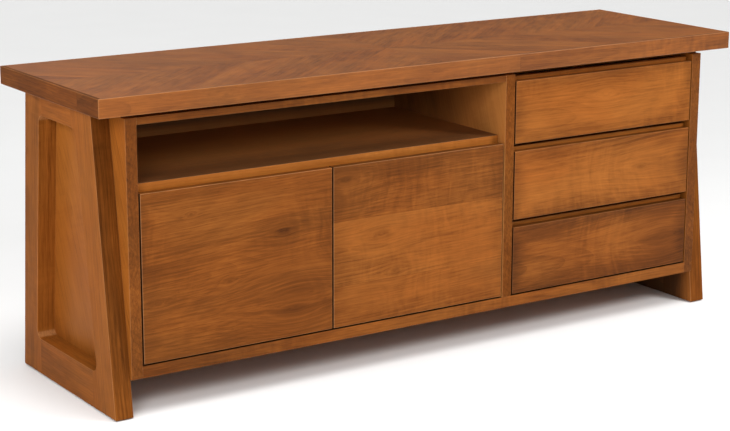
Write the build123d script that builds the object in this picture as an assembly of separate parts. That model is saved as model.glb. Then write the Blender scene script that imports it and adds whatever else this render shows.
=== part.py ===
from build123d import *
import math
import os

# Low media console in stained hardwood: a veneered top on a plain case, which hangs between two
# trapezoid end frames that stand on the floor. An open bay over two doors on the left, three
# drawers on the right. Millimetres. Origin: on the floor under the middle of the top.
# +X runs to the right along the length, -Y is the front, +Z is up.

# ---- driving dimensions ----
length = 1830.0              # over the top
depth = 524.0                # over the top, front to back
height = 737.0               # floor to the top surface
top_thickness = 43.0
lipping = 9.0                # width of the solid edge bands round the veneered panel
top_ease = 2.0

frame_outer_x = 886.0        # outer face of an end frame
frame_thickness = 45.0
frame_foot_front = -240.0    # the frame's foot, front and back
frame_foot_back = 257.0
frame_head_front = -157.0    # the frame's head, front and back, under the top
frame_head_back = 187.0
front_leg_head_width = 90.0
front_leg_foot_width = 76.0
rear_leg_head_width = 75.0
rear_leg_foot_width = 71.0
foot_rail_top = 91.0
head_rail_height = 54.0
opening_radius = 20.0
frame_ease = 1.5
glide_radius = 12.0
glide_thickness = 3.0

case_front = -236.0
case_back = 256.0
case_bottom = 89.0
board_thickness = 28.0       # sides, divider, bottom, shelf and rails
shadow_gap = 11.0            # let into the front of the case under the top
shadow_gap_depth = 20.0
back_thickness = 7.0
back_rebate = 10.0
case_ease = 0.8
divider_left = 197.0
shelf_top = 529.5
shelf_setback = 28.0
shelf_relief = 1.5           # the shelf's front corners stand clear of the walls
shelf_relief_depth = 12.0
bay_rail_bottom = 667.0
bay_rail_depth = 50.0
rear_rail_depth = 28.0
drawer_rail_front = -190.0
drawer_rail_depth = 60.0
drawer_rail_thickness = 18.0
cable_hole_radius = 30.0
cable_hole_x = -700.0
bay_cable_hole_z = 612.0
cupboard_cable_hole_z = 400.0

loose_shelf_thickness = 20.0
loose_shelf_z = 300.0
loose_shelf_front = -180.0
loose_shelf_play = 1.0       # at each end
loose_shelf_back_gap = 9.0
pin_radius = 2.5
pin_length = 20.0
pin_pitch = 32.0
pin_rows = 5

front_thickness = 20.0       # doors and drawer faces
gap = 4.0                    # round doors and between a drawer face and the case
door_gap_below = 3.5
door_top = 512.0
front_ease = 1.5

face_bottoms = (507.5, 313.5, 120.5)     # top, middle and bottom drawer
face_tops = (665.0, 487.5, 293.5)
inner_front_thickness = 15.0
inner_front_rise = 9.0       # the inner front stands this far above its face, as the finger pull
slide_gap = 12.7
drawer_side = 12.0
drawer_box_length = 400.0
drawer_side_lift = 12.0
drawer_side_drop = 15.0
drawer_bottom_lift = 22.0
drawer_bottom_thickness = 6.0
groove = 6.0

slide_length = 400.0
slide_height = 45.0
slide_sheet = 1.2
slide_lip_gap = 1.0          # between a member's lips and the next member's web
slide_nest_gap = 0.6         # between nested members, above and below
slide_lift = 30.0            # lower edge of the slide over the lower edge of the drawer face

bolt_head_radius = 7.5
bolt_head = 5.0
bolt_radius = 4.0
bolt_length = 48.0           # under the head
socket_radius = 2.5
socket_depth = 3.0
fit = 0.05                   # radial, round bolts, pins and plungers

hinge_inset = 22.5           # cup centre from the door's hinged edge
hinge_end_offset = 75.0      # cup centre from the door's top and bottom
cup_radius = 17.5
cup_depth = 11.5
cup_wall = 1.0
cup_rim = 1.5
flange_thickness = 1.2
flange_half_width = 8.0
flange_half_height = 29.0
plate_thickness = 3.0        # mounting plate on the wall
plate_half_height = 16.0
plate_front = 28.0           # behind the door's back
plate_back = 72.0
arm_rise = 12.0              # top of the arm over the wall
arm_front = 22.0
arm_back = 68.0
arm_half_height = 7.0
neck_half_height = 6.0       # the cranked neck, from the arm into the cup
neck_sheet = 7.0
neck_reach = 5.0
neck_elbow = 6.0

latch_offset = 17.0          # latch centre from the middle of the gap between the doors
latch_width = 16.0
latch_length = 60.0
latch_setback = 2.0
latch_end_wall = 8.0
plunger_radius = 4.0
plunger_length = 50.0
plunger_standoff = 0.5       # from the closed door's back
plunger_ease = 0.8

# ---- places worked out from those ----
pin_hole_radius = pin_radius + fit
bolt_hole_radius = bolt_radius + fit
plunger_bore_radius = plunger_radius + fit
half_length = length / 2
half_depth = depth / 2
top_underside = height - top_thickness
frame_inner_x = frame_outer_x - frame_thickness
case_half = frame_inner_x
inside_left = -case_half + board_thickness
inside_right = case_half - board_thickness
floor_of_case = case_bottom + board_thickness
case_top = top_underside - shadow_gap
divider_right = divider_left + board_thickness
shelf_bottom = shelf_top - board_thickness
shelf_front = case_front + shelf_setback
back_front = case_back - back_thickness
head_rail_bottom = top_underside - head_rail_height
door_back = case_front + front_thickness
door_bottom = floor_of_case + door_gap_below
door_width = (divider_left - inside_left - 3 * gap) / 2
doors_meet = (divider_left + inside_left) / 2
face_left = divider_right + gap
face_right = inside_right - gap
inner_front_back = door_back + inner_front_thickness
box_left = divider_right + slide_gap
box_right = inside_right - slide_gap
bolt_places = ((-120.0, 600.0), (-178.0, 240.0), (150.0, 600.0), (196.0, 240.0))
pin_places_y = (-120.0, 180.0)
drawer_names = ("top_drawer", "middle_drawer", "bottom_drawer")

os.makedirs("parts", exist_ok=True)


def save(shape, name):
    """Writes one sub-part, a solid or a group of separate solids."""
    solids = [solid for item in (shape if isinstance(shape, list) else [shape]) for solid in item.solids()]
    whole = solids[0] if len(solids) == 1 else Compound(children=solids)
    whole.label = name
    export_step(whole, "parts/" + name + ".step")


def board(x0, x1, y0, y1, z0, z1):
    """A square-cut board between two corners."""
    middle = Pos((x0 + x1) / 2, (y0 + y1) / 2, (z0 + z1) / 2)
    return middle * Box(x1 - x0, y1 - y0, z1 - z0)


def ease_front(piece, radius):
    """Rounds the arrises of a board's front face."""
    return fillet(piece.faces().sort_by(Axis.Y)[0].edges(), radius)


def rod(start, end, radius):
    """A round bar between two points."""
    line = Vector(*end) - Vector(*start)
    place = Plane(origin=start, z_dir=line)
    return extrude(place * Circle(radius), line.length)


def flipped(piece):
    """The same piece at the other end of the console."""
    return mirror(piece, about=Plane.YZ)


def prism(points, x0, x1):
    """An outline in the YZ plane carried from x0 to x1."""
    outline = make_face(Polyline(*points, close=True))
    return Pos(x0, 0, 0) * extrude(Plane.YZ * outline, x1 - x0)


# ---- top: veneered panel in a mitred lipping of solid wood ----
def make_top():
    slab = board(-half_length, half_length, -half_depth, half_depth, top_underside, height)
    slab = fillet(slab.edges(), top_ease)
    inner_x = half_length - lipping
    inner_y = half_depth - lipping
    save(board(-inner_x, inner_x, -inner_y, inner_y, top_underside, height), "top_panel")

    def band(corners, name):
        outline = make_face(Polyline(*corners, close=True))
        zone = Pos(0, 0, top_underside) * extrude(outline, top_thickness)
        save(slab & zone, name)

    outer = [(-half_length, -half_depth), (half_length, -half_depth),
             (half_length, half_depth), (-half_length, half_depth)]
    inner = [(-inner_x, -inner_y), (inner_x, -inner_y), (inner_x, inner_y), (-inner_x, inner_y)]
    for index, side in enumerate(("front", "right", "back", "left")):
        after = (index + 1) % 4
        band([outer[index], outer[after], inner[after], inner[index]], "top_" + side + "_band")


# ---- end frames: legs at full height, rails butted between them ----
def between(foot, head, z):
    """A leaning edge's y at height z, from its y at the floor and under the top."""
    return foot + (head - foot) * z / top_underside


def frame_lines(z):
    """The frame's outer front, inner front, inner back and outer back edges at height z."""
    front = between(frame_foot_front, frame_head_front, z)
    back = between(frame_foot_back, frame_head_back, z)
    front_width = between(front_leg_foot_width, front_leg_head_width, z)
    rear_width = between(rear_leg_foot_width, rear_leg_head_width, z)
    return front, front + front_width, back - rear_width, back


def make_left_frame():
    low = frame_lines(glide_thickness)
    foot = frame_lines(foot_rail_top)
    head = frame_lines(head_rail_bottom)
    high = frame_lines(top_underside)
    outline = make_face(Polyline((low[0], glide_thickness), (low[3], glide_thickness),
                                 (high[3], top_underside), (high[0], top_underside), close=True))
    opening = make_face(Polyline((foot[1], foot_rail_top), (foot[2], foot_rail_top),
                                 (head[2], head_rail_bottom), (head[1], head_rail_bottom), close=True))
    opening = fillet(opening.vertices(), opening_radius)
    frame = Pos(-frame_outer_x, 0, 0) * extrude(Plane.YZ * (outline - opening), frame_thickness)
    outer_edges = frame.edges().group_by(Axis.X)[0]
    inner_edges = frame.edges().group_by(Axis.X)[-1].sort_by(Axis.Y)
    frame = fillet(list(outer_edges) + [inner_edges[0], inner_edges[-1]], frame_ease)
    for y, z in bolt_places:
        frame -= rod((-case_half, y, z), (-case_half + board_thickness - bolt_head - bolt_length, y, z),
                     bolt_hole_radius)

    # the seams stand where the rounded corners of the opening begin
    lean_front = math.atan2(head_rail_bottom - foot_rail_top, head[1] - foot[1])
    lean_back = math.atan2(head_rail_bottom - foot_rail_top, foot[2] - head[2])
    foot_front_seam = foot[1] + opening_radius / math.tan(lean_front / 2)
    foot_back_seam = foot[2] - opening_radius / math.tan(lean_back / 2)
    head_front_seam = head[1] + opening_radius * math.tan(lean_front / 2)
    head_back_seam = head[2] - opening_radius * math.tan(lean_back / 2)

    x0, x1 = -frame_outer_x, -frame_inner_x
    front_zone = prism([(-half_depth, 0), (foot_front_seam, 0), (foot_front_seam, foot_rail_top),
                        (head_front_seam, head_rail_bottom), (head_front_seam, height),
                        (-half_depth, height)], x0, x1)
    back_zone = prism([(half_depth, 0), (foot_back_seam, 0), (foot_back_seam, foot_rail_top),
                       (head_back_seam, head_rail_bottom), (head_back_seam, height),
                       (half_depth, height)], x0, x1)
    foot_zone = board(x0, x1, foot_front_seam, foot_back_seam, 0, foot_rail_top)
    head_zone = board(x0, x1, head_front_seam, head_back_seam, head_rail_bottom, height)
    return {"front_leg": frame & front_zone, "rear_leg": frame & back_zone,
            "frame_foot_rail": frame & foot_zone, "frame_head_rail": frame & head_zone}


def make_frames():
    for name, piece in make_left_frame().items():
        save(piece, "left_" + name)
        save(flipped(piece), "right_" + name)
    glide_x = frame_outer_x - frame_thickness / 2
    glides = []
    for x in (-glide_x, glide_x):
        for y in (frame_foot_front + 3 * glide_radius, frame_foot_back - 3 * glide_radius):
            glides.append(rod((x, y, 0), (x, y, glide_thickness), glide_radius))
    save(glides, "foot_glides")


def make_bolts():
    """Connector bolts from inside the case into the legs, heads let in flush."""
    bolts = []
    for y, z in bolt_places:
        head_end = inside_left - bolt_head
        bolt = rod((inside_left, y, z), (head_end, y, z), bolt_head_radius)
        bolt += rod((head_end, y, z), (head_end - bolt_length, y, z), bolt_radius)
        socket = Plane(origin=(inside_left, y, z), z_dir=(-1, 0, 0)) * RegularPolygon(socket_radius, 6)
        bolt -= extrude(socket, socket_depth)
        bolts += [bolt, flipped(bolt)]
    save(bolts, "frame_bolts")


# ---- case ----
def front_board(x0, x1, y1, z0):
    """A board up to the top with its front eased, and cut back under the top for the shadow gap."""
    behind_gap = case_front + shadow_gap_depth
    front = ease_front(board(x0, x1, case_front, y1, z0, case_top), case_ease)
    return front + board(x0, x1, behind_gap, y1, case_top - case_ease, top_underside)


def side_panel():
    """The left side: rebated for the back, bored for the frame bolts."""
    panel = front_board(-case_half, inside_left, case_back, case_bottom)
    rebate_x = inside_left - back_rebate
    panel -= board(rebate_x, inside_left, back_front, case_back, case_bottom, top_underside)
    for y, z in bolt_places:
        panel -= rod((inside_left, y, z), (inside_left - bolt_head, y, z), bolt_head_radius + fit)
        panel -= rod((inside_left, y, z), (-case_half, y, z), bolt_hole_radius)
    return panel


def pin_holes(face_x, direction):
    """Two rows of blind holes for the loose shelf's pins, in the wall at face_x."""
    pin_z = loose_shelf_z - pin_radius
    holes = []
    for y in pin_places_y:
        for row in range(pin_rows):
            z = pin_z + (row - pin_rows // 2) * pin_pitch
            hole_end = (face_x + direction * pin_length / 2, y, z)
            holes.append(rod((face_x, y, z), hole_end, pin_hole_radius))
    return holes


def make_case():
    left = side_panel()
    save(flipped(left), "right_side_panel")
    for hole in pin_holes(inside_left, -1):
        left -= hole
    save(left, "left_side_panel")

    save(board(inside_left, inside_right, case_front, back_front, case_bottom, floor_of_case),
         "bottom_panel")

    divider = front_board(divider_left, divider_right, back_front, floor_of_case)
    rail_bottom = top_underside - board_thickness
    divider -= board(divider_left, divider_right, back_front - rear_rail_depth, back_front,
                     rail_bottom, top_underside)
    for hole in pin_holes(divider_left, 1):
        divider -= hole
    save(divider, "divider_panel")

    save(front_board(inside_left, divider_left, case_front + bay_rail_depth, bay_rail_bottom),
         "bay_front_rail")
    save(board(inside_left, inside_right, back_front - rear_rail_depth, back_front,
               rail_bottom, top_underside), "rear_top_rail")
    save(board(divider_right, inside_right, drawer_rail_front, drawer_rail_front + drawer_rail_depth,
               top_underside - drawer_rail_thickness, top_underside), "drawer_bay_rail")
    shelf = board(inside_left + shelf_relief, divider_left - shelf_relief, shelf_front, back_front,
                  shelf_bottom, shelf_top)
    shelf = ease_front(shelf, case_ease)
    shelf += board(inside_left, divider_left, shelf_front + shelf_relief_depth, back_front,
                   shelf_bottom, shelf_top)
    save(shelf, "media_shelf")

    seam = (divider_left + divider_right) / 2
    cupboard_back = board(inside_left - back_rebate, seam, back_front, case_back,
                          case_bottom, top_underside)
    for z in (bay_cable_hole_z, cupboard_cable_hole_z):
        hole_end = (cable_hole_x, case_back, z)
        cupboard_back -= rod((cable_hole_x, back_front, z), hole_end, cable_hole_radius)
    save(cupboard_back, "cupboard_back")
    save(board(seam, inside_right + back_rebate, back_front, case_back, case_bottom, top_underside),
         "drawer_bay_back")


def make_loose_shelf():
    shelf = board(inside_left + loose_shelf_play, divider_left - loose_shelf_play,
                  loose_shelf_front, back_front - loose_shelf_back_gap,
                  loose_shelf_z, loose_shelf_z + loose_shelf_thickness)
    save(ease_front(shelf, case_ease), "adjustable_shelf")
    pin_z = loose_shelf_z - pin_radius
    pins = []
    for face_x in (inside_left, divider_left):
        for y in pin_places_y:
            pin_end = (face_x + pin_length / 2, y, pin_z)
            pins.append(rod((face_x - pin_length / 2, y, pin_z), pin_end, pin_radius))
    save(pins, "shelf_pins")


# ---- doors ----
def hinge_heights():
    return door_bottom + hinge_end_offset, door_top - hinge_end_offset


def hinge_cup(x, z):
    """A pressed cup let into the door's back, with its fixing flange on the surface."""
    cup = rod((x, door_back, z), (x, door_back - cup_depth, z), cup_radius)
    cup += board(x - flange_half_width, x + flange_half_width, door_back, door_back + flange_thickness,
                 z - flange_half_height, z + flange_half_height)
    cup += rod((x, door_back, z), (x, door_back + flange_thickness, z), cup_radius + cup_rim)
    cup -= rod((x, door_back + flange_thickness, z), (x, door_back - cup_depth + cup_wall, z),
               cup_radius - cup_wall)
    return cup


def hinge_arm(wall_x, edge_x, z):
    """Mounting plate on the wall and a cranked arm that reaches into the cup."""
    turn = 1 if edge_x > wall_x else -1
    cup_x = edge_x + turn * hinge_inset

    def layer(low, high, front, back, half_height):
        """A plate that stands from low to high over the wall, seen from the wall."""
        ends = sorted((wall_x + turn * low, wall_x + turn * high))
        return board(*ends, door_back + front, door_back + back, z - half_height, z + half_height)

    arm = layer(0, plate_thickness, plate_front, plate_back, plate_half_height)
    arm += layer(plate_thickness, arm_rise, arm_front, arm_back, arm_half_height)
    near = cup_x - turn * neck_sheet / 2
    far = cup_x + turn * neck_sheet / 2
    outline = [(wall_x + turn * (arm_rise - neck_sheet), door_back + arm_front),
               (wall_x + turn * arm_rise, door_back + arm_front + neck_sheet),
               (far, door_back + neck_elbow), (far, door_back - neck_reach),
               (near, door_back - neck_reach), (near, door_back + neck_elbow / 2)]
    neck = make_face(Polyline(*outline, close=True))
    arm += Pos(0, 0, z - neck_half_height) * extrude(neck, 2 * neck_half_height, dir=(0, 0, 1))
    return arm


def make_doors():
    arms = []
    left_edges = (inside_left + gap, doors_meet + gap / 2)
    for side, x0 in zip(("left", "right"), left_edges):
        x1 = x0 + door_width
        hinged_edge = x0 if side == "left" else x1
        wall_x = inside_left if side == "left" else divider_left
        turn = 1 if side == "left" else -1
        cup_x = hinged_edge + turn * hinge_inset
        door = ease_front(board(x0, x1, case_front, door_back, door_bottom, door_top), front_ease)
        cups = []
        for z in hinge_heights():
            door -= rod((cup_x, door_back, z), (cup_x, door_back - cup_depth, z), cup_radius)
            cups.append(hinge_cup(cup_x, z))
            arms.append(hinge_arm(wall_x, hinged_edge, z))
        save(door, side + "_door_panel")
        save(cups, side + "_door_hinge_cups")
    save(arms, "hinge_arms")


def make_latches():
    """Push latches under the fixed shelf: a sprung plunger behind each door's free edge."""
    housings = []
    z = shelf_bottom - latch_width / 2
    for side, turn in (("left", -1), ("right", 1)):
        x = doors_meet + turn * latch_offset
        y0 = shelf_front + latch_setback
        housing = board(x - latch_width / 2, x + latch_width / 2, y0, y0 + latch_length,
                        z - latch_width / 2, z + latch_width / 2)
        housing -= rod((x, y0, z), (x, y0 + latch_length - latch_end_wall, z), plunger_bore_radius)
        housings.append(housing)
        tip = door_back + plunger_standoff
        plunger = rod((x, tip, z), (x, tip + plunger_length, z), plunger_radius)
        save(chamfer(plunger.edges().group_by(Axis.Y)[0], plunger_ease), side + "_latch_plunger")
    save(housings, "latch_housings")


# ---- drawers ----
def channel(web_x, turn, reach, half_height, z, y0, y1):
    """A folded strip: a web at web_x, and two lips that reach turn * reach from its back."""
    outline = [(web_x, z - half_height), (web_x + turn * reach, z - half_height),
               (web_x + turn * reach, z - half_height + slide_sheet),
               (web_x + turn * slide_sheet, z - half_height + slide_sheet),
               (web_x + turn * slide_sheet, z + half_height - slide_sheet),
               (web_x + turn * reach, z + half_height - slide_sheet),
               (web_x + turn * reach, z + half_height), (web_x, z + half_height)]
    place = Plane(origin=(0, y0, 0), x_dir=(1, 0, 0), z_dir=(0, -1, 0))
    return extrude(place * make_face(Polyline(*outline, close=True)), -(y1 - y0))


def make_drawer(name, z0, z1):
    """One drawer: face, taller inner front, two sides, back and a bottom let into grooves."""
    back_y = inner_front_back + drawer_box_length
    side_z0 = z0 + drawer_side_lift
    side_z1 = z1 - drawer_side_drop
    bottom_z0 = z0 + drawer_bottom_lift
    bottom_z1 = bottom_z0 + drawer_bottom_thickness
    bottom = board(box_left + drawer_side - groove, box_right - drawer_side + groove,
                   inner_front_back - groove, back_y, bottom_z0, bottom_z1)

    face = board(face_left, face_right, case_front, door_back, z0, z1)
    save(ease_front(face, front_ease), name + "_face")
    inner_front = board(face_left, face_right, door_back, inner_front_back, z0, z1 + inner_front_rise)
    save(inner_front - bottom, name + "_inner_front")
    left = board(box_left, box_left + drawer_side, inner_front_back, back_y, side_z0, side_z1)
    right = board(box_right - drawer_side, box_right, inner_front_back, back_y, side_z0, side_z1)
    save(left - bottom, name + "_left_side")
    save(right - bottom, name + "_right_side")
    save(board(box_left + drawer_side, box_right - drawer_side, back_y - drawer_side, back_y,
               bottom_z1, side_z1), name + "_back")
    save(bottom, name + "_bottom")


def make_slides():
    """Three-part slides on both sides of each drawer: case, middle and drawer members."""
    outer_members = []
    y0 = inner_front_back
    y1 = y0 + slide_length
    outer_half = slide_height / 2
    middle_half = outer_half - slide_sheet - slide_nest_gap
    inner_half = middle_half - slide_sheet - slide_nest_gap
    middle_web = slide_sheet + slide_nest_gap
    outer_reach = slide_gap - slide_lip_gap
    middle_reach = slide_gap - slide_sheet - slide_lip_gap - middle_web
    inner_reach = slide_gap - middle_web - slide_sheet - slide_lip_gap
    for name, z0 in zip(drawer_names, face_bottoms):
        z = z0 + slide_lift + slide_height / 2
        middle_members = []
        inner_members = []
        for wall_x, turn in ((divider_right, 1), (inside_right, -1)):
            drawer_x = wall_x + turn * slide_gap
            outer_members.append(channel(wall_x, turn, outer_reach, outer_half, z, y0, y1))
            middle_members.append(channel(wall_x + turn * middle_web, turn, middle_reach, middle_half,
                                          z, y0, y1))
            inner_members.append(channel(drawer_x, -turn, inner_reach, inner_half, z, y0, y1))
        save(middle_members, name + "_slide_middle")
        save(inner_members, name + "_slide_inner")
    save(outer_members, "slide_outer_members")


make_top()
make_frames()
make_bolts()
make_case()
make_loose_shelf()
make_doors()
make_latches()
for drawer_name, face_z0, face_z1 in zip(drawer_names, face_bottoms, face_tops):
    make_drawer(drawer_name, face_z0, face_z1)
make_slides()
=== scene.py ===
import math

import bmesh
import bpy
from mathutils import Matrix, Quaternion, Vector


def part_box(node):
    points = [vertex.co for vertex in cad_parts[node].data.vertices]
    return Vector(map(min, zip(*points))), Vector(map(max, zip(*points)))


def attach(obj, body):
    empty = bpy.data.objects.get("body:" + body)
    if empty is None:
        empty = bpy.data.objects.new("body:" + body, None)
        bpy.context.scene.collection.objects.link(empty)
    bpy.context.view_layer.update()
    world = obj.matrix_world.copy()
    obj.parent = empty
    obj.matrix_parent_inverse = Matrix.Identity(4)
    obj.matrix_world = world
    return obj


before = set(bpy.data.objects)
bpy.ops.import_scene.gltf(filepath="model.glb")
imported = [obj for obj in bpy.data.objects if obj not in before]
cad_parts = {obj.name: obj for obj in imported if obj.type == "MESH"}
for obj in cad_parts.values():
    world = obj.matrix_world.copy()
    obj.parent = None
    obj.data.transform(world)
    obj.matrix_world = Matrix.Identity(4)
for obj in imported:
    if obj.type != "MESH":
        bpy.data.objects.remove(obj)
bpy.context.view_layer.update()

# A low media console in stained hardwood. Every visible board is a CAD piece, and this script
# gives each one its own cut of wood: grain along its length, its own place in the tree, and the
# knots, glued seams and tone that set it apart. Metres, in the CAD's frame.

# ---- camera, floor and light ----
camera_place = (-2.6455, -3.8979, 1.4668)
camera_heading = 33.54       # degrees from +Y towards +X
camera_pitch = -13.83
camera_roll = 0.13
camera_lens = 94.14          # millimetres
camera_sensor = 36.0         # millimetres wide

floor_size = 60.0
floor_tones = ((0.84, 0.84, 0.835), (0.87, 0.87, 0.865))
floor_roughness = 0.7
floor_sheen = 0.2
floor_depth = 0.0002
horizon_light = 0.11
zenith_light = 0.26
sun_distance = 4.0           # only where the lamp stands: a sun is equally bright everywhere
suns = {                     # azimuth from the front towards +X, elevation, strength, soft angle
    "overhead_light": (20.0, 76.0, 2.05, 40.0),
    "back_light": (170.0, 42.0, 0.55, 40.0),
}
softboxes = {                # place, what it is aimed at, side, watts
    "key_softbox": ((1.70, -2.20, 1.80), (0.50, -0.24, 0.50), 0.8, 50.0),
    "fill_softbox": ((-2.55, -2.20, 1.72), (-0.10, 0.0, 0.55), 1.0, 42.0),
    "front_softbox": ((-1.90, -3.40, 1.25), (-0.30, -0.10, 0.58), 0.8, 14.0),
    "left_softbox": ((-1.95, -0.34, 1.10), (-0.93, -0.15, 0.50), 0.6, 7.5),
}

# ---- stained wood, from its darkest pores to its lightest figure: share, colour ----
stain_tones = (
    (0.00, (0.030, 0.0080, 0.0015)),
    (0.28, (0.150, 0.0450, 0.0070)),
    (0.50, (0.280, 0.0895, 0.0140)),
    (0.72, (0.380, 0.1280, 0.0215)),
    (1.00, (0.520, 0.2000, 0.0420)),
)
maple_tones = (
    (0.00, (0.240, 0.130, 0.060)),
    (0.30, (0.520, 0.350, 0.190)),
    (0.60, (0.690, 0.510, 0.310)),
    (1.00, (0.800, 0.640, 0.430)),
)
# Paler arrises: partly rubbed wear, partly a painted highlight.
worn_and_highlit_edge = (0.62, 0.33, 0.150)
# Painted light: a flat brown that stands in for the light on shaded faces.
painted_light_brown = (0.32, 0.175, 0.085)
reddish_tint = (1.0, 0.93, 0.85)

# ---- finishes, wear and painted highlight ----
board_sheen = 0.06           # specular level
frame_sheen = 0.02
top_sheen = 0.20
lacquer_roughness = 0.42
coat_weight = 0.02
coat_roughness = 0.25
maple_roughness = 0.44
maple_coat_weight = 0.15
grain_depth = 0.00007        # depths of the bump, in metres
maple_depth = 0.00008
metal_depth = 0.00003
plastic_depth = 0.00006
board_wear_and_highlight = 0.35            # how pale the eased arrises are: rubbed wear and a painted highlight
# The doors' arrises carry a stronger painted highlight.
door_wear_and_highlight = 0.80
flat_cosine = 0.98           # a normal this near to an axis is on a flat face,
arris_cosine = 0.86          # and one this far from it is on an arris
facing_cosine = 0.6          # a normal this near to a direction looks that way

# ---- figure: rings, veneer leaves, seams, darkening near edges and knots ----
seed_step = 0.37             # from one board to the next
seam_seed_step = 0.83        # from one glued board to the next
ring_width = 0.0075
pith_depth = 0.075           # the tree's middle, below and beside the board's own middle
pith_aside = 0.035
leaf_width = 0.090           # veneer leaves on the top
leaf_angle = 42.0            # between a leaf and the console's length
leaf_contrast = 0.075        # between one leaf's tone and another's
leaf_slope = 0.035           # across one leaf
leaf_mottle = 0.30
top_tone = -0.23
seam_width = 0.0006
seam_darkness = 0.07
edge_darkening_reach = 0.060
edge_darkening_wander = 0.026
knot_slimness = 0.5          # how much thinner than long a knot is
knot_push = 0.9              # how far it turns the grain aside
knot_halo = 0.45             # how dark the wood round it is against its middle

# ---- screws, on the hinges and round the back panels ----
# The head's outline is in shares of its radius and its height.
screw_profile = ((0.0, 1.0), (0.45, 0.97), (0.80, 0.78), (1.0, 0.40), (1.0, 0.0))
screw_sides = 24
screw_twist = 0.7            # radians from one screw's recess to the next
hinge_screw_radius = 0.0034
hinge_screw_height = 0.0014
hinge_end_offset = 0.075     # cup centre from the door's top and bottom
hinge_inset = 0.0225         # cup centre from the door's hinged edge
flange_thickness = 0.0012
flange_screw_offset = 0.0235
plate_thickness = 0.003
plate_middle = 0.050         # behind the door's back
plate_screw_offset = 0.0115
back_screw_radius = 0.0040
back_screw_height = 0.0016
back_screw_inset = 0.008
back_screw_spacing = 0.150


class Graph:
    """A node tree with short calls, each of which adds a node and gives back its output."""

    def __init__(self, tree):
        self.tree = tree

    def add(self, kind, inputs=None, **settings):
        node = self.tree.nodes.new(kind)
        for name, value in settings.items():
            setattr(node, name, value)
        for key, value in (inputs or {}).items():
            if isinstance(value, bpy.types.NodeSocket):
                self.tree.links.new(value, node.inputs[key])
            else:
                node.inputs[key].default_value = value
        return node

    def math(self, operation, *values):
        return self.add("ShaderNodeMath", dict(enumerate(values)), operation=operation).outputs[0]

    def vector(self, operation, *values):
        node = self.add("ShaderNodeVectorMath", dict(enumerate(values)), operation=operation)
        return node.outputs["Value" if operation in ("DOT_PRODUCT", "LENGTH") else "Vector"]

    def scaled(self, vector, factor):
        node = self.add("ShaderNodeVectorMath", {0: vector, "Scale": factor}, operation="SCALE")
        return node.outputs["Vector"]

    def split(self, vector):
        return self.add("ShaderNodeSeparateXYZ", {0: vector}).outputs

    def joined(self, x, y, z):
        return self.add("ShaderNodeCombineXYZ", {0: x, 1: y, 2: z}).outputs[0]

    def noise(self, place, stretch, detail=2.0, roughness=0.5, distortion=0.0, output="Fac"):
        """Noise with stretch[i] features a metre along each axis of place, about 0.5 on average."""
        inputs = {"Vector": self.vector("MULTIPLY", place, stretch), "Scale": 1.0, "Detail": detail,
                  "Roughness": roughness, "Distortion": distortion}
        return self.add("ShaderNodeTexNoise", inputs).outputs[output]

    def smooth(self, value, low, high, start=0.0, end=1.0):
        """Rises smoothly from start, where value is low, to end, where it is high."""
        inputs = {"Value": value, "From Min": low, "From Max": high, "To Min": start, "To Max": end}
        return self.add("ShaderNodeMapRange", inputs, interpolation_type="SMOOTHSTEP").outputs[0]

    def total(self, start, *terms):
        """start plus each (value, weight) in turn."""
        for value, weight in terms:
            start = self.math("MULTIPLY_ADD", value, weight, start)
        return start

    def mixed(self, factor, first, second, blend="MIX"):
        inputs = {0: factor, 6: first, 7: second}
        return self.add("ShaderNodeMix", inputs, data_type="RGBA", blend_type=blend).outputs[2]

    def ramp(self, value, tones):
        node = self.add("ShaderNodeValToRGB", {0: value})
        stops = node.color_ramp.elements
        while len(stops) < len(tones):
            stops.new(0.5)
        for stop, (place, colour) in zip(stops, tones):
            stop.position = place
            stop.color = (*colour, 1.0)
        return node.outputs[0]


def placed(name, data):
    """A new object in the scene."""
    thing = bpy.data.objects.new(name, data)
    bpy.context.scene.collection.objects.link(thing)
    return thing


def new_graph(name):
    material = bpy.data.materials.new(name)
    material.use_nodes = True
    material.node_tree.nodes.clear()
    return material, Graph(material.node_tree)


def finished(graph, colour, roughness, relief, depth, **constants):
    """Ends a material: a shader with that colour, roughness and relief, depth in metres."""
    bump = graph.add("ShaderNodeBump", {"Height": relief, "Distance": depth, "Strength": 1.0})
    inputs = {"Base Color": colour, "Roughness": roughness, "Normal": bump.outputs[0], **constants}
    shader = graph.add("ShaderNodeBsdfPrincipled", inputs)
    graph.add("ShaderNodeOutputMaterial", {"Surface": shader.outputs[0]})


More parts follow.
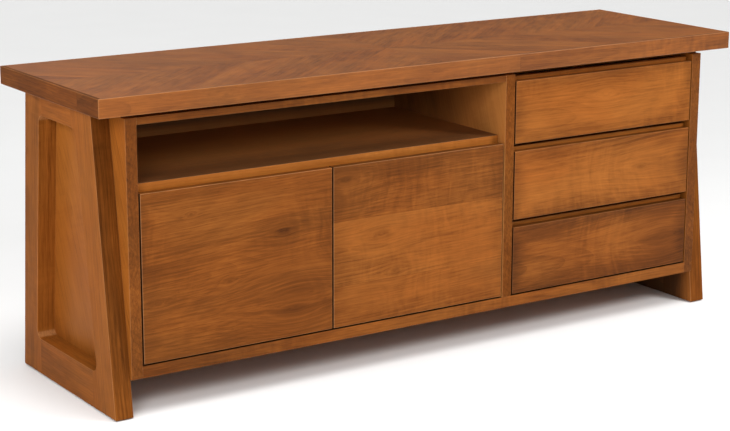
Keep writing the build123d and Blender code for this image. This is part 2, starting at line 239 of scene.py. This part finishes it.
# ---- one node group draws the figure of the wood ----
def make_wood_figure():
    """Place is in metres, with X along the grain.
    Gives a shade of about 0.5, a shift of hue and a relief."""
    tree = bpy.data.node_groups.new("wood_figure", "ShaderNodeTree")
    tree.interface.new_socket("Place", in_out="INPUT", socket_type="NodeSocketVector")
    for name in ("Seed", "Knots"):
        tree.interface.new_socket(name, in_out="INPUT", socket_type="NodeSocketFloat")
    for name in ("Shade", "Warmth", "Relief"):
        tree.interface.new_socket(name, in_out="OUTPUT", socket_type="NodeSocketFloat")
    g = Graph(tree)
    given = g.add("NodeGroupInput").outputs
    shift = g.scaled(g.joined(3.1, 1.7, 2.3), given["Seed"])
    place = g.vector("ADD", given["Place"], shift)

    # The fibres wander, so everything that is drawn along them wanders too.
    wander = g.noise(place, (2.2, 9.0, 9.0), 2.0, output="Color")
    drift = g.vector("SUBTRACT", wander, (0.5, 0.5, 0.5))
    sway = g.vector("MULTIPLY", drift, (0.0, 0.012, 0.012))
    fibre_place = g.vector("ADD", place, sway)
    clear_place = g.vector("ADD", given["Place"], sway)

    # Growth rings run round a pith that leans away along the board.
    along, across, through = g.split(clear_place)
    slow = g.noise(g.vector("MULTIPLY", place, (1.0, 0.0, 0.0)), (2.6, 1.0, 1.0), 1.0)
    aside = g.math("MULTIPLY_ADD", g.math("SINE", given["Seed"]), pith_aside, across)
    below = g.math("ADD", through, pith_depth)
    radius = g.vector("LENGTH", g.joined(aside, below, 0.0))
    taper = g.total(radius, (along, 0.035), (slow, 0.055))
    phase = g.math("FRACT", g.math("DIVIDE", taper, ring_width))
    late_wood = g.math("POWER", phase, 3.0)
    ring_strength = g.smooth(g.noise(place, (3.0, 14.0, 14.0), 1.0), 0.35, 0.65)
    rings = g.math("MULTIPLY", late_wood, ring_strength)

    # Broad patches, long streaks and pores, and the curl that crosses the grain.
    clouds = g.noise(place, (4.5, 11.0, 11.0), 3.0, 0.55, 0.6)
    stains = g.noise(g.vector("ADD", place, (5.0, 0.0, 0.0)), (9.0, 30.0, 30.0), 3.0, 0.6, 0.4)
    streaks = g.noise(fibre_place, (2.5, 210.0, 210.0), 4.0, 0.6)
    fibres = g.noise(fibre_place, (14.0, 620.0, 620.0), 2.0, 0.6)
    curl = g.noise(place, (52.0, 13.0, 13.0), 2.0, 0.5, 0.8)
    curl_strength = g.smooth(g.noise(place, (3.5, 5.0, 5.0), 0.0), 0.40, 0.70)
    curl = g.math("MULTIPLY", g.math("SUBTRACT", curl, 0.5), curl_strength)
    flecks = g.noise(fibre_place, (24.0, 360.0, 360.0), 2.0, 0.6)
    pores = g.smooth(g.noise(fibre_place, (75.0, 1100.0, 1100.0), 1.0), 0.64, 0.80)

    shade = g.total(-0.06, (clouds, 0.28), (stains, 0.14), (streaks, 0.34), (fibres, 0.16),
                    (flecks, 0.22), (curl, 0.24), (rings, -0.07), (pores, -0.10),
                    (given["Knots"], -1.0))
    warmth = g.noise(g.vector("ADD", place, (0.0, 9.0, 0.0)), (3.2, 8.0, 8.0), 2.0)
    relief = g.total(0.5, (fibres, 0.45), (streaks, 0.30), (pores, -0.9), (rings, -0.20))
    g.add("NodeGroupOutput", {"Shade": shade, "Warmth": warmth, "Relief": relief})
    return tree


wood_figure = make_wood_figure()


# ---- what the CAD says about a board ----
def slot_of(node):
    """The name of the finish that the record gives the piece."""
    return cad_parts[node].data.materials[0].name


def grain_of(node):
    """The board's middle, its ways along, across and through the grain, and its half sizes."""
    low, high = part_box(node)
    size = high - low
    longest = max(range(3), key=lambda axis: size[axis])
    thinnest = min(range(3), key=lambda axis: size[axis])
    corners = [vertex.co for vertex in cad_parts[node].data.vertices]
    end_zone = 0.002
    far = [c for c in corners if c[longest] > high[longest] - end_zone]
    near = [c for c in corners if c[longest] < low[longest] + end_zone]
    along = sum(far, Vector()) / len(far) - sum(near, Vector()) / len(near)
    along[thinnest] = 0.0
    along.normalize()
    through = Vector([1.0 if axis == thinnest else 0.0 for axis in range(3)])
    across = along.cross(through)
    half = size / 2
    widest = 3 - longest - thinnest
    return (low + high) / 2, along, across, through, half[longest], half[widest]


# ---- stained boards ----
def own_place(g, node):
    """The point in the board's own directions, measured from its middle."""
    middle, along, across, through, _, _ = grain_of(node)
    point = g.add("ShaderNodeTexCoord").outputs["Object"]
    offset = g.vector("SUBTRACT", point, middle)
    return g.joined(*(g.vector("DOT_PRODUCT", offset, way) for way in (along, across, through)))


def with_knots(g, place, board_knots, half_length, half_width):
    """Bends the grain round each knot, and adds up how dark they are.
    A knot is its place as shares of the half length and half width, its radius and its darkness."""
    darkness = 0.0
    for share_along, share_across, radius, dark in board_knots:
        centre = (share_along * half_length, share_across * half_width, 0.0)
        offset = g.vector("SUBTRACT", place, centre)
        radii = g.vector("MULTIPLY", offset, (knot_slimness / radius, 1.0 / radius, 0.0))
        reach = g.vector("LENGTH", radii)
        bell = g.math("EXPONENT", g.math("MULTIPLY", g.math("MULTIPLY", reach, reach), -1.0))
        wide = g.math("EXPONENT", g.math("MULTIPLY", reach, -0.55))
        push = g.math("MULTIPLY", wide, knot_push)
        place = g.vector("SUBTRACT", place, g.scaled(offset, push))
        darkness = g.total(darkness, (bell, dark), (wide, dark * knot_halo))
    return place, darkness


def with_steps(g, point, node, board_steps):
    """The glued joints in a panel: the tone beyond them, 1 on their seams, and which board it is.
    A step is an axis, its share of the box, and the tone beyond it."""
    low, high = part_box(node)
    level, seam, index = 0.0, 0.0, 0.0
    parts = g.split(point)
    for axis, share, tone in board_steps:
        place = low[axis] + share * (high[axis] - low[axis])
        beyond = g.math("GREATER_THAN", parts[axis], place)
        level = g.total(level, (beyond, tone))
        index = g.total(index, (beyond, 1.0))
        near = g.math("ABSOLUTE", g.math("SUBTRACT", parts[axis], place))
        seam = g.math("MAXIMUM", seam, g.smooth(near, seam_width, 2 * seam_width, 1.0, 0.0))
    return level, seam, index


def rounded_edge(g):
    """1 on the eased arrises, whose normals lie between the board's faces."""
    normal = g.vector("ABSOLUTE", g.add("ShaderNodeTexCoord").outputs["Normal"])
    x, y, z = g.split(normal)
    squareness = g.math("MAXIMUM", x, g.math("MAXIMUM", y, z))
    return g.smooth(squareness, flat_cosine, arris_cosine)


def figured(g, place, seed, darkness):
    """The wood's shade, warmth and relief at that place."""
    inputs = {"Place": place, "Seed": seed, "Knots": darkness}
    return g.add("ShaderNodeGroup", inputs, node_tree=wood_figure).outputs


def stained(g, place, seed, tone, darkness, seam, painted_light_share, sheen, wear_and_highlight):
    """Finishes a stained board: colour from the figure, satin lacquer, edges lighter from wear and
    a painted highlight, and painted flat light on shaded faces.
    """
    shade, warmth, relief = figured(g, place, seed, darkness)
    shade = g.total(g.math("ADD", shade, tone), (seam, -seam_darkness))
    colour = g.ramp(shade, stain_tones)
    colour = g.mixed(g.smooth(warmth, 0.35, 0.65), colour, (*reddish_tint, 1.0), "MULTIPLY")
    # Painted light: on shaded faces a share of flat brown replaces the wood's colour.
    colour = g.mixed(painted_light_share, colour, (*painted_light_brown, 1.0))
    # Paler arrises: partly rubbed wear, partly a painted highlight.
    wear = g.math("MULTIPLY", rounded_edge(g), g.smooth(shade, 0.2, 0.7, 0.4 * wear_and_highlight, wear_and_highlight))
    colour = g.mixed(wear, colour, (*worn_and_highlit_edge, 1.0))
    roughness = g.total(lacquer_roughness, (shade, 0.10), (relief, -0.06), (seam, 0.1))
    lacquer = {"Specular IOR Level": sheen, "Coat Weight": coat_weight,
               "Coat Roughness": coat_roughness}
    finished(g, colour, roughness, relief, grain_depth, **lacquer)


def darker_near_edges(g, place, half_length, half_width, darkness):
    """Darker towards the board's edges."""
    along, across, _ = g.split(place)
    from_end = g.math("SUBTRACT", half_length, g.math("ABSOLUTE", along))
    from_side = g.math("SUBTRACT", half_width, g.math("ABSOLUTE", across))
    uneven = g.noise(g.vector("ADD", place, (half_length, darkness, 0.0)), (5.0, 12.0, 12.0), 2.0)
    nearest = g.total(g.math("MINIMUM", from_end, from_side), (uneven, edge_darkening_wander))
    return g.smooth(nearest, edge_darkening_wander / 2, edge_darkening_wander / 2 + edge_darkening_reach, -darkness, 0.0)


def on_edges(g, through):
    """1 on the board's narrow sides that don't look up, 0 elsewhere."""
    normal = g.add("ShaderNodeTexCoord").outputs["Normal"]
    facing = g.math("ABSOLUTE", g.vector("DOT_PRODUCT", normal, through))
    narrow = g.math("LESS_THAN", facing, facing_cosine)
    not_up = g.math("LESS_THAN", g.split(normal)[2], facing_cosine)
    return g.math("MULTIPLY", narrow, not_up)


def on_face(g, looking):
    """1 on the faces that look the given way, 0 elsewhere."""
    normal = g.add("ShaderNodeTexCoord").outputs["Normal"]
    return g.math("GREATER_THAN", g.vector("DOT_PRODUCT", normal, looking), facing_cosine)


def stained_board(node, seed):
    """One board's stained wood, with everything that the tables below say about it."""
    material, g = new_graph(node + "_wood")
    board_steps = steps.get(node, ())
    tone = tones.get(node, 0.0)
    _, _, _, through, half_length, half_width = grain_of(node)
    point = g.add("ShaderNodeTexCoord").outputs["Object"]
    flat_place = own_place(g, node)
    place, darkness = with_knots(g, flat_place, knots.get(node, ()), half_length, half_width)
    level, seam, index = with_steps(g, point, node, board_steps)
    if board_steps:
        seed = g.math("MULTIPLY_ADD", index, seam_seed_step, seed)
        tone = g.math("ADD", level, tone)
    # Painted shade on the narrow edges, which lie in shade in the gaps; painted light where the
    # tone is above 0.
    if node in painted_edge_shade_and_light:
        tone = g.total(tone, (on_edges(g, through), painted_edge_shade_and_light[node]))
    if node in darkenings:
        tone = g.math("ADD", tone, darker_near_edges(g, flat_place, half_length, half_width, darkenings[node]))
    painted_light_share = 0.0
    # Painted light and shade: a tone that runs across the face, and a share of painted flat brown.
    for looking, axis, start, end, first_tone, last_tone, share in painted_light_faces.get(node, ()):
        on_it = on_face(g, looking)
        painted_light_tone = g.smooth(g.split(point)[axis], start, end, first_tone, last_tone)
        tone = g.total(tone, (on_it, painted_light_tone))
        painted_light_share = g.total(painted_light_share, (on_it, share))
    usual_sheen = frame_sheen if slot_of(node) == "frame_wood" else board_sheen
    sheen = sheens.get(node, usual_sheen)
    wear_and_highlight = door_wear_and_highlight if slot_of(node) == "door_wood" else board_wear_and_highlight
    stained(g, place, seed, tone, darkness, seam, painted_light_share, sheen, wear_and_highlight)
    return material


def veneered_top(node, seed):
    """Leaves laid diagonally in four quarters, whose chevrons point at the middle of the top."""
    material, g = new_graph(node + "_veneer")
    low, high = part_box(node)
    point = g.add("ShaderNodeTexCoord").outputs["Object"]
    x, y, z = g.split(g.vector("SUBTRACT", point, (low + high) / 2))
    from_x, from_y = g.math("ABSOLUTE", x), g.math("ABSOLUTE", y)
    turn = math.radians(leaf_angle)
    along = g.total(g.math("MULTIPLY", from_x, math.cos(turn)), (from_y, math.sin(turn)))
    across = g.total(g.math("MULTIPLY", from_x, math.sin(turn)), (from_y, -math.cos(turn)))
    leaves = g.math("DIVIDE", across, leaf_width)
    leaf = g.math("FLOOR", leaves)
    quarter = g.total(g.math("SIGN", x), (g.math("SIGN", y), 2.0))
    draw = g.add("ShaderNodeTexWhiteNoise", {"Vector": g.joined(leaf, quarter, seed)})
    chance = draw.outputs["Value"]
    tone = g.math("MULTIPLY", g.math("SUBTRACT", chance, 0.5), leaf_contrast)
    slope = g.math("MULTIPLY", g.math("SUBTRACT", g.math("FRACT", leaves), 0.5), leaf_slope)
    mottle = g.noise(g.joined(along, across, chance), (16.0, 75.0, 9.0), 3.0)
    tone = g.total(g.math("ADD", g.math("ADD", tone, slope), top_tone), (mottle, leaf_mottle))
    own_seed = g.math("MULTIPLY_ADD", chance, 5.0, seed)
    edge = g.math("MULTIPLY", g.math("PINGPONG", leaves, 0.5), leaf_width)
    edge = g.math("MINIMUM", edge, g.math("MINIMUM", from_x, from_y))
    seam = g.smooth(edge, 0.5 * seam_width, 1.2 * seam_width, 0.6, 0.0)
    place = g.joined(along, across, z)
    stained(g, place, own_seed, tone, 0.0, seam, 0.0, top_sheen, board_wear_and_highlight)
    return material


# ---- the other finishes ----
def maple_board(node, seed):
    """Clear-finished maple for the drawer boxes."""
    material, g = new_graph(node + "_maple")
    shade, _, relief = figured(g, own_place(g, node), seed, 0.0)
    roughness = g.total(maple_roughness, (relief, 0.10))
    coat = {"Coat Weight": maple_coat_weight}
    finished(g, g.ramp(shade, maple_tones), roughness, relief, maple_depth, **coat)
    return material


def brushed_metal(name, dark, light, roughness):
    """Plated steel with rolling marks along its length and faint blotches."""
    material, g = new_graph(name)
    point = g.add("ShaderNodeTexCoord").outputs["Object"]
    marks = g.noise(point, (900.0, 60.0, 900.0), 2.0, 0.6)
    blotches = g.noise(point, (90.0, 90.0, 90.0), 3.0, 0.6)
    value = g.total(-0.15, (marks, 0.5), (blotches, 0.8))
    colour = g.mixed(value, (*dark, 1.0), (*light, 1.0))
    rough = g.total(roughness - 0.15, (marks, 0.18), (blotches, 0.12))
    finished(g, colour, rough, marks, metal_depth, **{"Metallic": 1.0})
    return material


def moulded_plastic(name, colour):
    """Moulded plastic with a fine spark-eroded texture and slightly shiny rubbed edges."""
    material, g = new_graph(name)
    point = g.add("ShaderNodeTexCoord").outputs["Object"]
    texture = g.noise(point, (900.0, 900.0, 900.0), 2.0, 0.5)
    wear = g.noise(point, (60.0, 60.0, 60.0), 3.0, 0.6)
    paler = tuple(min(1.0, part * 1.25) for part in colour)
    tint = g.mixed(g.smooth(wear, 0.35, 0.7), (*colour, 1.0), (*paler, 1.0))
    rough = g.total(0.46, (texture, 0.14), (wear, -0.12))
    finished(g, tint, rough, texture, plastic_depth)
    return material


# ---- every piece gets its finish ----
tones = {                    # lighter or darker than the usual board
    "left_front_leg": -0.04, "left_rear_leg": -0.08,
    "left_frame_foot_rail": -0.12, "left_frame_head_rail": -0.09,
    "right_front_leg": -0.10, "right_rear_leg": -0.10, "right_frame_foot_rail": -0.12,
    "left_side_panel": 0.03, "bottom_panel": -0.10, "bay_front_rail": -0.24,
    "top_front_band": -0.10, "top_left_band": -0.30,
    "left_door_panel": -0.16, "right_door_panel": -0.07,
    "top_drawer_face": 0.01, "middle_drawer_face": -0.01, "bottom_drawer_face": -0.13,
    "bottom_drawer_inner_front": -0.03,
}
sheens = {
    "top_front_band": 0.22, "top_left_band": 0.02, "top_right_band": 0.02, "divider_panel": 0.03,
}
painted_edge_shade_and_light = {               # painted shade on a board's narrow edges; painted light where the tone is above 0
    "left_side_panel": -0.25, "right_side_panel": -0.29, "divider_panel": -0.23,
    "media_shelf": 0.14, "left_front_leg": -0.24, "right_front_leg": -0.12,
    "left_door_panel": -0.34, "right_door_panel": -0.38,
    "top_drawer_face": -0.40, "middle_drawer_face": -0.40, "bottom_drawer_face": -0.38,
}
# Painted light and shade on faces that are lit or shaded unevenly: the way they look, the axis the
# change runs along, where it starts and ends, the tones there, and the share of painted flat brown.
painted_light_faces = {
    "media_shelf": (((0, 0, 1), 1, -0.20, 0.10, -0.30, 0.30, 0.20),),
    "cupboard_back": (((0, -1, 0), 2, 0.535, 0.560, 0.40, -0.35, 0.30),),
    "divider_panel": (((-1, 0, 0), 1, -0.24, 0.08, 0.46, -0.12, 0.15),),
    "left_front_leg": (((0, -1, 0), 2, 0.06, 0.24, 0.08, 0.0, 0.0),),
    "right_front_leg": (((-1, 0, 0), 1, -0.235, -0.165, 0.05, -0.42, 0.10),),
    "right_frame_foot_rail": (((-1, 0, 0), 1, -0.24, -0.06, -0.15, -0.50, 0.15),),
    "bottom_panel": (((0, -1, 0), 0, -0.75, -0.20, -0.17, -0.03, 0.0),
                     ((0, 0, 1), 1, -0.215, -0.195, -0.60, 0.0, 0.0)),
}
darkenings = {               # how much darker a board gets towards its edges
    "left_door_panel": 0.05, "right_door_panel": 0.08, "left_side_panel": 0.04,
    "top_drawer_face": 0.15, "middle_drawer_face": 0.17, "bottom_drawer_face": 0.18,
}
knots = {                    # share of the half length and half width, radius, darkness
    "left_door_panel": ((0.479, 0.292, 0.011, 0.12), (0.578, -0.666, 0.016, 0.08),
                        (-0.480, 0.710, 0.006, 0.06), (-0.109, -0.177, 0.006, 0.05),
                        (-0.852, -0.259, 0.007, 0.06), (-0.940, 0.699, 0.006, 0.05),
                        (0.62, -0.52, 0.040, 0.06)),
    "right_door_panel": ((-0.842, 0.862, 0.020, 0.07), (-0.459, 0.129, 0.014, 0.08),
                         (-0.315, -0.391, 0.012, 0.04)),
    "middle_drawer_face": ((0.433, 0.006, 0.009, 0.09), (0.86, 0.10, 0.045, 0.06)),
    "bottom_drawer_face": ((0.72, -0.10, 0.050, 0.08),),
    "top_drawer_face": ((0.0, 0.24, 0.014, -0.05),),
    "media_shelf": ((-0.42, 0.0, 0.005, 0.05),),
    "top_front_band": ((-0.66, 0.1, 0.004, 0.06), (-0.03, 0.0, 0.004, 0.04)),
}
steps = {                    # axis, share of the box, tone beyond it
    "right_door_panel": ((2, 0.256, 0.01), (2, 0.661, -0.11)),
    "top_front_band": ((0, 0.62, -0.06),),
    "top_left_band": ((1, 0.20, 0.03),),
}
stained_slots = ("top_lipping", "frame_wood", "case_wood", "door_wood", "drawer_face_wood",
                 "back_board")


def dress():
    """Gives every CAD piece its own material, by the slot that the record puts it in."""
    steel = brushed_metal("zinc_plate", (0.42, 0.43, 0.45), (0.68, 0.69, 0.70), 0.42)
    nickel = brushed_metal("nickel_plate", (0.50, 0.48, 0.45), (0.78, 0.76, 0.72), 0.30)
    bolt = brushed_metal("bolt_plate", (0.16, 0.15, 0.14), (0.34, 0.32, 0.30), 0.38)
    shared = {
        "slide_steel": steel, "nickel_steel": nickel, "bolt_steel": bolt,
        "latch_plastic": moulded_plastic("latch_shell", (0.075, 0.070, 0.066)),
        "glide_nylon": moulded_plastic("glide_shell", (0.16, 0.13, 0.10)),
    }
    for index, node in enumerate(sorted(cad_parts)):
        finish = slot_of(node)
        seed = 1.0 + seed_step * index
        if finish == "top_veneer":
            material = veneered_top(node, seed)
        elif finish in stained_slots:
            material = stained_board(node, seed)
        elif finish == "drawer_box_wood":
            material = maple_board(node, seed)
        else:
            material = shared[finish]
        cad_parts[node].data.materials[0] = material
    make_screws(nickel, bolt)


# ---- screws, which the CAD leaves out ----
def screw_master(radius, height):
    """A pan head with a cross recess, standing on z = 0 with its top up."""
    head = bmesh.new()
    ring = [head.verts.new((x * radius, 0.0, z * height)) for x, z in screw_profile]
    for first, second in zip(ring, ring[1:]):
        head.edges.new((first, second))
    bmesh.ops.spin(head, geom=head.verts[:] + head.edges[:], cent=(0, 0, 0), axis=(0, 0, 1),
                   angle=math.tau, steps=screw_sides, use_merge=True)
    bmesh.ops.remove_doubles(head, verts=head.verts, dist=radius * 1e-3)
    bmesh.ops.contextual_create(head, geom=[edge for edge in head.edges if edge.is_boundary])
    bmesh.ops.recalc_face_normals(head, faces=head.faces)
    # Two crossed bars, which narrow towards the recess's floor, are cut away.
    recess = bmesh.new()
    wing = 0.58 * radius
    slot = 0.13 * radius
    for size_x, size_y in ((wing, slot), (slot, wing)):
        bar = bmesh.ops.create_cube(recess, size=2.0)["verts"]
        for vertex in bar:
            upper = vertex.co.z > 0
            spread = 1.0 if upper else 0.7
            z = 1.5 * height if upper else 0.35 * height
            vertex.co = (vertex.co.x * size_x * spread, vertex.co.y * size_y * spread, z)
    body = piece_of("screw_head", head)
    cutter = piece_of("screw_recess", recess)
    cut = body.modifiers.new("recess", "BOOLEAN")
    cut.operation = "DIFFERENCE"
    cut.object = cutter
    cut.use_self = True
    bpy.context.view_layer.update()
    evaluated = body.evaluated_get(bpy.context.evaluated_depsgraph_get())
    whole = bpy.data.meshes.new_from_object(evaluated)
    for scrap in (body, cutter):
        bpy.data.objects.remove(scrap)
    return whole


def piece_of(name, shape):
    """An object with that shape, which is used up."""
    mesh = bpy.data.meshes.new(name)
    shape.to_mesh(mesh)
    shape.free()
    return placed(name, mesh)


def screws(name, body, master, facing, places, material):
    """One piece of many screws, whose heads stand at those places and look along facing."""
    shape = bmesh.new()
    turned = Vector(facing).to_track_quat("Z", "Y")
    for index, place in enumerate(places):
        twist = Quaternion((0, 0, 1), screw_twist * index)
        copy = master.copy()
        copy.transform(Matrix.Translation(place) @ (turned @ twist).to_matrix().to_4x4())
        shape.from_mesh(copy)
        bpy.data.meshes.remove(copy)
    piece = piece_of(name, shape)
    piece.data.materials.append(material)
    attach(piece, body)


def spread_out(low, high, spacing):
    """Evenly spaced values from low to high, about that far apart."""
    gaps = max(1, round((high - low) / spacing))
    return [low + (high - low) * index / gaps for index in range(gaps + 1)]


def round_the_edge(node, spacing):
    """Places on the back of a back panel, just inside its four edges."""
    low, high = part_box(node)
    left, right = low.x + back_screw_inset, high.x - back_screw_inset
    bottom, top = low.z + back_screw_inset, high.z - back_screw_inset
    columns, rows = spread_out(left, right, spacing), spread_out(bottom, top, spacing)
    places = [(x, high.y, z) for x in columns for z in (bottom, top)]
    return places + [(x, high.y, z) for x in (left, right) for z in rows[1:-1]]


def make_screws(nickel, bolt):
    """The screws of the hinges' cups and plates, and those round the two back panels."""
    master = screw_master(hinge_screw_radius, hinge_screw_height)
    for side, outward in (("left", 1.0), ("right", -1.0)):
        low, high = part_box(side + "_door_panel")
        hinged_x = low.x if outward > 0 else high.x
        cup_x = hinged_x + outward * hinge_inset
        cup_heights = (low.z + hinge_end_offset, high.z - hinge_end_offset)
        cup_y = high.y + flange_thickness
        cups = [(cup_x, cup_y, z + up * flange_screw_offset)
                for z in cup_heights for up in (-1, 1)]
        name = side + "_hinge_cup_screws"
        screws(name, side + "_door", master, (0, 1, 0), cups, nickel)
        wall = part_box("left_side_panel")[1].x if outward > 0 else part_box("divider_panel")[0].x
        plate_x = wall + outward * plate_thickness
        plate_y = high.y + plate_middle
        plates = [(plate_x, plate_y, z + up * plate_screw_offset)
                  for z in cup_heights for up in (-1, 1)]
        name = side + "_hinge_plate_screws"
        screws(name, "case", master, (outward, 0, 0), plates, nickel)
    master = screw_master(back_screw_radius, back_screw_height)
    for node in ("cupboard_back", "drawer_bay_back"):
        places = round_the_edge(node, back_screw_spacing)
        screws(node + "_screws", "case", master, (0, 1, 0), places, bolt)


# ---- stage ----
def make_floor():
    mesh = bpy.data.meshes.new("floor")
    half = floor_size / 2
    corners = [(-half, -half, 0), (half, -half, 0), (half, half, 0), (-half, half, 0)]
    mesh.from_pydata(corners, [], [(0, 1, 2, 3)])
    floor = placed("floor", mesh)
    material, g = new_graph("pale_floor")
    point = g.add("ShaderNodeTexCoord").outputs["Object"]
    mottle = g.noise(point, (3.0, 3.0, 3.0), 3.0)
    darker, lighter = floor_tones
    colour = g.mixed(mottle, (*darker, 1.0), (*lighter, 1.0))
    sheen = {"Specular IOR Level": floor_sheen}
    finished(g, colour, floor_roughness, mottle, floor_depth, **sheen)
    mesh.materials.append(material)


def direction(azimuth, elevation):
    """The way to something at that azimuth from the front towards +X and that elevation."""
    turn, rise = math.radians(azimuth), math.radians(elevation)
    level = math.cos(rise)
    return Vector((math.sin(turn) * level, -math.cos(turn) * level, math.sin(rise)))


def place_lamp(name, light, place, towards):
    """Stands a lamp at that place, shining from the direction towards."""
    lamp = placed(name, light)
    lamp.location = place
    lamp.rotation_mode = "QUATERNION"
    lamp.rotation_quaternion = towards.to_track_quat("Z", "Y")
    return lamp


def make_lights():
    for name, (azimuth, elevation, strength, softness) in suns.items():
        light = bpy.data.lights.new(name, "SUN")
        light.energy = strength
        light.angle = math.radians(softness)
        towards = direction(azimuth, elevation)
        place_lamp(name, light, sun_distance * towards, towards)
    for name, (place, target, side, watts) in softboxes.items():
        light = bpy.data.lights.new(name, "AREA")
        light.shape = "SQUARE"
        light.size = side
        light.energy = watts
        lamp = place_lamp(name, light, place, Vector(place) - Vector(target))
        lamp.visible_camera = False


def make_world():
    """A plain studio shell, dim at the horizon and brighter overhead."""
    world = bpy.data.worlds.new("studio")
    world.use_nodes = True
    world.node_tree.nodes.clear()
    g = Graph(world.node_tree)
    height = g.split(g.add("ShaderNodeTexCoord").outputs["Generated"])[2]
    strength = g.smooth(height, 0.0, 1.0, horizon_light, zenith_light)
    inputs = {"Color": (1.0, 1.0, 1.0, 1.0), "Strength": strength}
    background = g.add("ShaderNodeBackground", inputs)
    g.add("ShaderNodeOutputWorld", {"Surface": background.outputs[0]})
    bpy.context.scene.world = world


def make_camera():
    """The camera has no shift: the photo's own optical centre lies outside its frame."""
    turn, rise = math.radians(camera_heading), math.radians(camera_pitch)
    level = math.cos(rise)
    forward = Vector((math.sin(turn) * level, math.cos(turn) * level, math.sin(rise)))
    lens = bpy.data.cameras.new("camera")
    lens.sensor_width = camera_sensor
    lens.lens = camera_lens
    camera = placed("camera", lens)
    camera.location = camera_place
    camera.rotation_mode = "QUATERNION"
    roll = Quaternion((0, 0, 1), math.radians(camera_roll))
    camera.rotation_quaternion = forward.to_track_quat("-Z", "Y") @ roll
    bpy.context.scene.camera = camera


make_camera()
make_floor()
make_lights()
make_world()
dress()
bpy.context.scene.view_settings.view_transform = "Standard"
